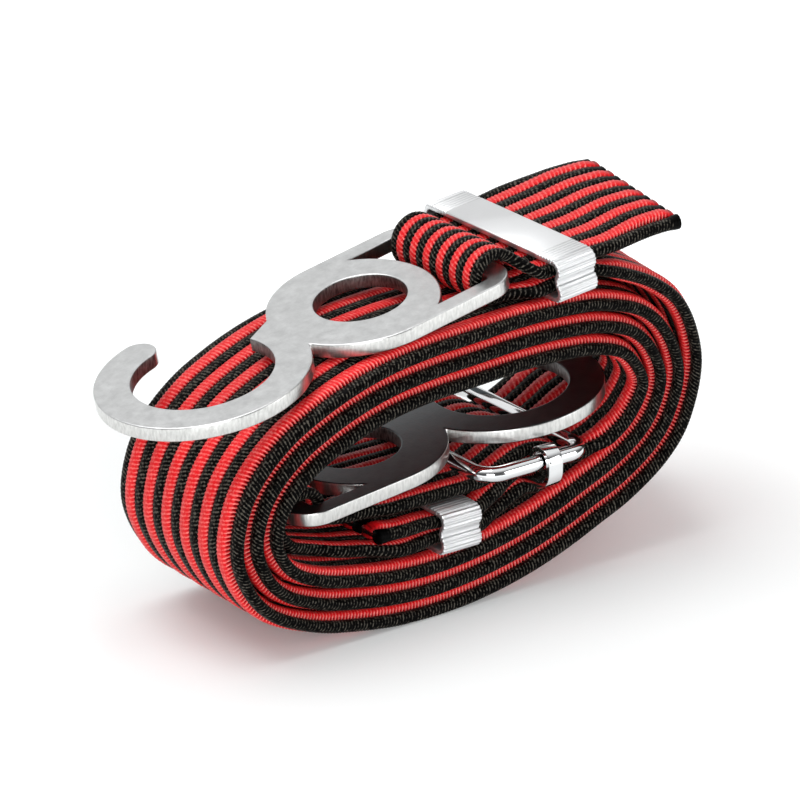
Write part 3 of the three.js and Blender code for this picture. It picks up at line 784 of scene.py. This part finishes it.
# Clips: two alike, short lengths cut from an aluminium extrusion and pressed round both layers of the strap.
# Two lobes at each end follow the layers' edges, and fine ridges from the die run along the strap's way.
CLIP_WALL = 0.75
CLIP_CLEARANCE = 0.8
LOBE_TURN = math.radians(55)
WAIST_DEPTH = 0.5
RIDGE_PITCH = 0.55
RIDGE_DEPTH = 0.25
RIDGES = 6
LOBE_RIDGE_SHARE = 0.5
CLIP_ROUNDING = 0.2
clip_half_height = LOBE_OFFSET + FOLDED / 2 + PIECE_GAP + CLIP_WALL
clip_half_length = CLIP_STRAP_WIDTH / 2 + CLIP_CLEARANCE + CLIP_WALL


def ridged(centre, radius, start, end):
    """A lobe with fine ridges on it, shallower than those on the flat walls."""
    points = arc(centre, radius, start, end)
    ridge_count = round(radius * abs(end - start) / RIDGE_PITCH)
    middle = Vector(centre)
    for index, point in enumerate(points):
        swing = math.sin(math.pi * ridge_count * index / (len(points) - 1)) ** 2
        sunk = LOBE_RIDGE_SHARE * RIDGE_DEPTH * (1 - swing)
        points[index] = middle + (point - middle) * (1 - sunk / radius)
    return points


def flat_ridges(start, wall, way):
    """Fine ridges near both ends of a flat wall."""
    floor = wall - math.copysign(RIDGE_DEPTH, wall)
    points = []
    for first in (start + way * RIDGE_PITCH / 2, -start - way * RIDGE_PITCH * (RIDGES - 0.5)):
        for ridge in range(RIDGES):
            y = first + way * RIDGE_PITCH * ridge
            for share, z in ((0, wall), (0.25, floor), (0.5, wall)):
                points.append(Vector((y + way * RIDGE_PITCH * share, z)))
    return points


def clip_outline(inset):
    """The sleeve's section, ridged outside, or plain at an inset from the outside."""
    lobe = clip_half_height / 2
    radius = lobe - inset
    lobe_y = clip_half_length - lobe
    cusp = Vector((clip_half_length - inset - WAIST_DEPTH, 0))
    draw = arc if inset else ridged
    half = [
        cusp, *draw((lobe_y, lobe), radius, -LOBE_TURN, math.pi / 2),
        *([] if inset else flat_ridges(lobe_y, clip_half_height, -1)),
        *draw((-lobe_y, lobe), radius, math.pi / 2, math.pi + LOBE_TURN),
    ]
    return half + [-point for point in half]


# Die lines run along the strap's way, which is nearly X, so the noise is drawn out along it
DIE_LINE_SIZE = 0.25
DIE_LINE_ALONG_STRAP = 0.06
extruded_aluminium, tree, shader = new_material("bright_extruded_aluminium")
shader.inputs["Metallic"].default_value = 1
shader.inputs["Base Color"].default_value = linear("#DCDDDE")
spot = node(tree, "ShaderNodeTexCoord").outputs["Object"]
drawn_out = node(
    tree, "ShaderNodeMapping", {"Vector": spot, "Scale": (DIE_LINE_ALONG_STRAP, 1, 1)},
).outputs[0]
die_lines = noise(tree, drawn_out, DIE_LINE_SIZE, detail=2.0)
rough = node(tree, "ShaderNodeMapRange", {"Value": die_lines, "To Min": 0.38, "To Max": 0.52}).outputs[0]
tree.links.new(rough, shader.inputs["Roughness"])
add_bumps(tree, shader, die_lines, strength=0.3, depth=0.04)

# A section drawn in x and y stands up across the strap, and its depth lies along the strap
along_strap = Matrix(((0, 0, 1, 0), (1, 0, 0, 0), (0, 1, 0, 0), (0, 0, 0, 1)))
for name, clip in (("upper_clip", UPPER_CLIP), ("inner_clip", INNER_CLIP)):
    outlines = [clip_outline(0), clip_outline(CLIP_WALL)]
    mesh = punched(f"{name}_sleeve", outlines, CLIP_DEPTH, CLIP_ROUNDING, at_place(clip) @ along_strap)
    sleeve = new_object(f"{name}_sleeve", mesh, extruded_aluminium)
    sleeve.data.materials.append(extruded_aluminium)
    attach(sleeve, "strap")
    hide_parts(name)

# Slide: a rectangle bent from round steel wire and chromed, which the strap passes under and over.
# Its centre bar is a strip that hangs below on two curled ends and carries the strap's end loop.
FRAME_CORNER = 2.6
CURL_TAIL = 0.5
CURL_ELBOW = 2.2
STRIP_ROUNDING = 0.1
SMEAR_SIZE = 2
rail_y = SLIDE_WIDTH / 2 + PIECE_GAP + BAR_STRIP_THICKNESS + PIECE_GAP + WIRE_DIAMETER / 2
curl_radius = WIRE_DIAMETER / 2 + PIECE_GAP + BAR_STRIP_THICKNESS / 2

chrome, tree, shader = new_material("polished_chrome")
shader.inputs["Metallic"].default_value = 1
shader.inputs["Base Color"].default_value = linear("#E4E5E6")
spot = node(tree, "ShaderNodeTexCoord").outputs["Object"]
smear = noise(tree, spot, SMEAR_SIZE, detail=3.0)
rough = node(tree, "ShaderNodeMapRange", {"Value": smear, "To Min": 0.04, "To Max": 0.16}).outputs[0]
tree.links.new(rough, shader.inputs["Roughness"])

half_x = (SLIDE_RIGHT - SLIDE_LEFT) / 2
wire = bpy.data.curves.new("slide_wire", "CURVE")
wire.dimensions = "3D"
wire.bevel_depth = WIRE_DIAMETER / 2 * MM
wire.bevel_resolution = 6
bends = []
for sign_x, sign_y, start in ((1, 1, 0), (-1, 1, 0.5), (-1, -1, 1), (1, -1, 1.5)):
    centre = (sign_x * (half_x - FRAME_CORNER), sign_y * (rail_y - FRAME_CORNER))
    bends += arc(centre, FRAME_CORNER, math.pi * start, math.pi * (start + 0.5))
draw_closed(wire, bends)
wire_mesh = curve_mesh("slide_wire", wire)
wire_mesh.transform(at_place(((SLIDE_LEFT + SLIDE_RIGHT) / 2, SLIDE_Z, 0)))
wire_mesh.shade_smooth()
slide_wire = new_object("slide_wire", wire_mesh, chrome)
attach(slide_wire, "slide_frame")
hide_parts("slide_frame")

# The strip's middle line at one end, up round the elbow and over the wire, with the way out from each bend
elbow = (rail_y + curl_radius - CURL_ELBOW, CURL_ELBOW)
rail = (rail_y, BAR_DROP)
strip_line = []
for bend, radius, start, end in ((elbow, CURL_ELBOW, -math.pi / 2, 0), (rail, curl_radius, 0, math.pi)):
    for point in arc(bend, radius, start, end):
        strip_line.append((point, (point - Vector(bend)).normalized()))
strip_line.append((Vector((rail_y - curl_radius, BAR_DROP - CURL_TAIL)), Vector((-1, 0))))
outer_side = [point + out * BAR_STRIP_THICKNESS / 2 for point, out in strip_line]
inner_side = [point - out * BAR_STRIP_THICKNESS / 2 for point, out in strip_line]
near_half = outer_side + inner_side[::-1]
strip_outline = near_half + [Vector((-point.x, point.y)) for point in near_half[::-1]]
strip_place = at_place((SLIDE_BAR, SLIDE_Z - BAR_DROP, 0)) @ along_strap
strip_mesh = punched("slide_strip", [strip_outline], BAR_STRIP_WIDTH, STRIP_ROUNDING, strip_place)
slide_strip = new_object("slide_strip", strip_mesh, chrome)
slide_strip.data.materials.append(chrome)
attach(slide_strip, "strap")
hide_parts("slide_centre_bar")

# Studio: a floor that keeps the bundle's soft shadow and shows pure white away from it, under a wide soft
# lamp above and low ones in front at both sides. Metal sees a bright ceiling that comes down at the rear,
# and a dark wall in front.
FLOOR_HALF = 3000 * MM
FLOOR_LIFT = 0.35
SHADOW_LIFT = 0.07
LIFT_START, LIFT_END = 50, 118
CEILING_LIGHT = 0.45
CEILING_MIDDLE = Vector((0.1, 0.45, 0.89)).normalized()
WALL_END, CEILING_START = 0.15, 0.65
WALL_TONE = 0.1

floor_mesh = bpy.data.meshes.new("studio_floor")
corners = [(x * FLOOR_HALF, y * FLOOR_HALF, 0) for x, y in ((-1, -1), (1, -1), (1, 1), (-1, 1))]
floor_mesh.from_pydata(corners, [], [(0, 1, 2, 3)])
white_floor, tree, shader = new_material("white_studio_floor")
# The floor is faintly cyan, a painted offset to the pink light that the red strap throws into its shadow
shader.inputs["Base Color"].default_value = linear("#F2F4F4")
shader.inputs["Roughness"].default_value = 0.6
shader.inputs["Emission Color"].default_value = (1, 1, 1, 1)
# Seen by the camera and in reflections the floor glows, faintly near the bundle and fully away from it
seen = node(tree, "ShaderNodeLightPath").outputs
looked_at = maths(tree, "MAXIMUM", seen["Is Camera Ray"], seen["Is Glossy Ray"])
looked_at = maths(tree, "MAXIMUM", looked_at, seen["Is Transmission Ray"])
spot = node(tree, "ShaderNodeTexCoord").outputs["Object"]
away = node(tree, "ShaderNodeVectorMath", {0: spot}, operation="LENGTH").outputs["Value"]
lift = node(
    tree, "ShaderNodeMapRange",
    {
        "Value": away, "From Min": LIFT_START * MM, "From Max": LIFT_END * MM,
        "To Min": SHADOW_LIFT, "To Max": FLOOR_LIFT,
    },
    interpolation_type="SMOOTHSTEP",
).outputs[0]
lift = maths(tree, "MULTIPLY", looked_at, lift)
tree.links.new(lift, shader.inputs["Emission Strength"])
studio_floor = new_object("studio_floor", floor_mesh, white_floor)

world = bpy.data.worlds.new("white_studio")
scene.world = world
world.use_nodes = True
tree = world.node_tree
background = tree.nodes["Background"]
background.inputs["Color"].default_value = (1, 1, 1, 1)
seen = node(tree, "ShaderNodeLightPath").outputs
way = node(tree, "ShaderNodeTexCoord").outputs["Generated"]
height = node(
    tree, "ShaderNodeVectorMath", {0: way, 1: CEILING_MIDDLE}, operation="DOT_PRODUCT",
).outputs["Value"]
in_metal = node(
    tree, "ShaderNodeMapRange",
    {"Value": height, "From Min": WALL_END, "From Max": CEILING_START, "To Min": WALL_TONE},
    interpolation_type="SMOOTHSTEP",
).outputs[0]
looked_at = maths(tree, "MAXIMUM", seen["Is Camera Ray"], seen["Is Transmission Ray"])
strength = mixed(tree, looked_at, CEILING_LIGHT, 1.0)
strength = mixed(tree, seen["Is Glossy Ray"], strength, in_metal)
tree.links.new(strength, background.inputs["Strength"])

# Places and sizes of the lamps are in metres, and their power is in watts
for name, place, size, power in (
    ("top_lamp", (-0.2, 0.12, 0.75), 0.6, 4.0),
    ("front_lamp", (-0.42, -0.62, 0.2), 0.36, 3.2),
    ("right_lamp", (0.45, -0.62, 0.22), 0.36, 1.5),
):
    lamp_data = bpy.data.lights.new(name, "AREA")
    lamp_data.size = size
    lamp_data.energy = power
    lamp = bpy.data.objects.new(name, lamp_data)
    lamp.location = place
    lamp.rotation_euler = (LOOK_AT - Vector(place)).to_track_quat("-Z", "Y").to_euler()
    scene.collection.objects.link(lamp)

scene.view_settings.view_transform = "Standard"
